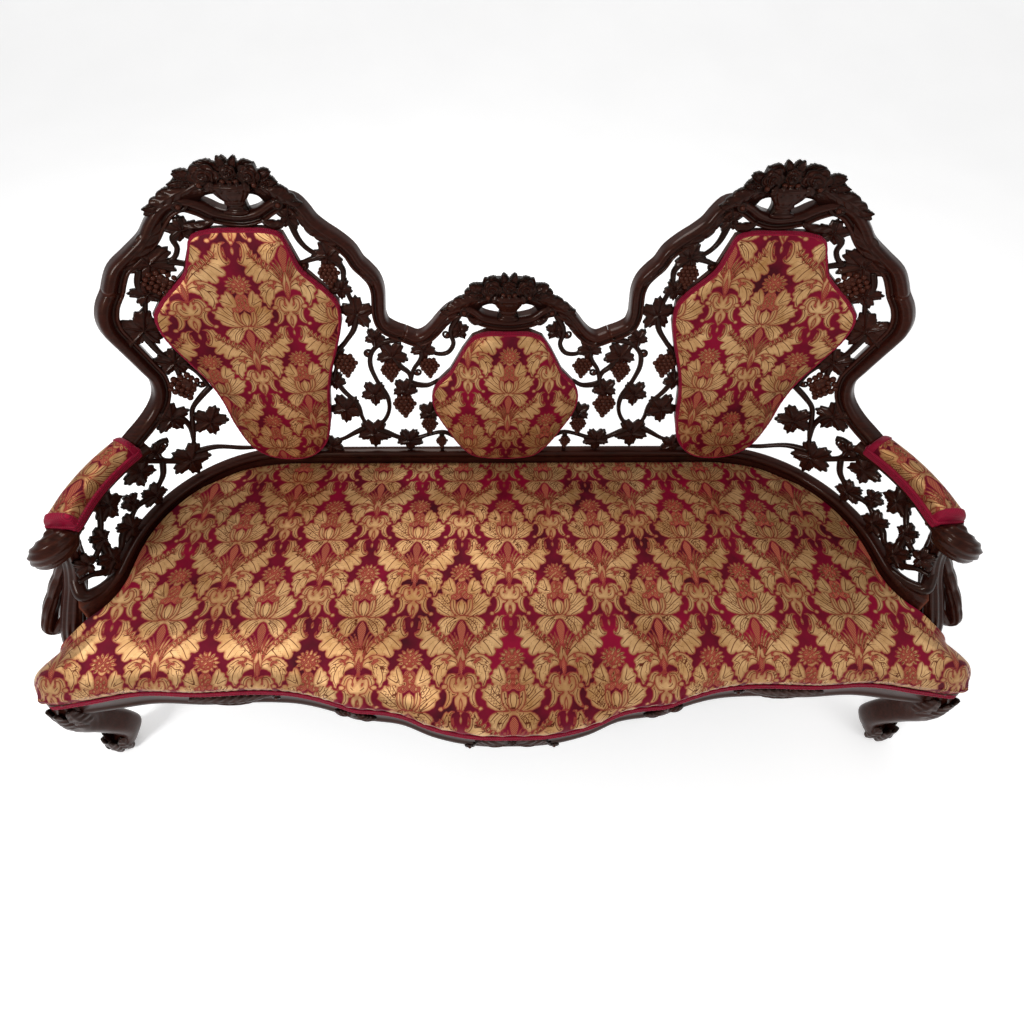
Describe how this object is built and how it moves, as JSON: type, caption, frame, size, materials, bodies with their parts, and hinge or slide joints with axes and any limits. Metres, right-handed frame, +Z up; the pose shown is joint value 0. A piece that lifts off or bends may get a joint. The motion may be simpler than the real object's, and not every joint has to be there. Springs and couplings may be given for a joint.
{
  "type": "carved triple-back settee",
  "caption": "Carved settee with a serpentine sprung seat, a pierced vine back that wraps round into open padded arms, padded medallions and flower-basket crests.",
  "frame": {"origin": "middle of the plan of the bounding box, at the floor", "axes": "+X to the right of someone facing the settee's front, +Y from its front to its back, +Z up"},
  "size_m": [2.2164, 0.8904, 1.2902],
  "materials": {
    "rosewood": "gloss",
    "secondary_wood": "raw",
    "damask": "satin",
    "braid": "satin",
    "back_cloth": "matte",
    "jute": "matte",
    "spring_steel": "satin",
    "dust_cloth": "matte"
  },
  "bodies": {
    "root": {"front_rail": "rosewood", "front_leg_left": "rosewood", "front_leg_right": "rosewood", "rear_leg_left": "rosewood", "rear_leg_right": "rosewood", "back_bottom_rail": "rosewood", "crest_rail_left": "rosewood", "crest_rail_centre": "rosewood", "crest_rail_right": "rosewood", "stile_left": "rosewood", "stile_right": "rosewood", "flower_basket_left": "rosewood", "flower_basket_centre": "rosewood", "flower_basket_right": "rosewood", "vine_inner_left": "rosewood", "vine_inner_right": "rosewood", "vine_outer_left": "rosewood", "vine_outer_right": "rosewood", "arm_rail_left": "rosewood", "arm_rail_right": "rosewood", "arm_post_left": "rosewood", "arm_post_right": "rosewood", "back_seat_rail": "secondary_wood", "seat_brace": "secondary_wood", "side_rail_left": "secondary_wood", "side_rail_right": "secondary_wood", "corner_block_front_left": "secondary_wood", "corner_block_front_right": "secondary_wood", "corner_block_rear_left": "secondary_wood", "corner_block_rear_right": "secondary_wood", "panel_board_left": "secondary_wood", "panel_board_centre": "secondary_wood", "panel_board_right": "secondary_wood", "seat_cushion": "damask", "panel_cushion_left": "damask", "panel_cushion_centre": "damask", "panel_cushion_right": "damask", "arm_pad_left": "damask", "arm_pad_right": "damask", "seat_gimp": "braid", "panel_gimp_left": "braid", "panel_gimp_centre": "braid", "panel_gimp_right": "braid", "panel_back_cover_left": "back_cloth", "panel_back_cover_centre": "back_cloth", "panel_back_cover_right": "back_cloth", "seat_webbing": "jute", "seat_spring_1": "spring_steel", "seat_spring_2": "spring_steel", "seat_spring_3": "spring_steel", "seat_spring_4": "spring_steel", "seat_spring_5": "spring_steel", "seat_spring_6": "spring_steel", "seat_spring_7": "spring_steel", "seat_spring_8": "spring_steel", "seat_spring_9": "spring_steel", "seat_spring_10": "spring_steel", "dust_cover": "dust_cloth"}
  },
  "joints": []
}
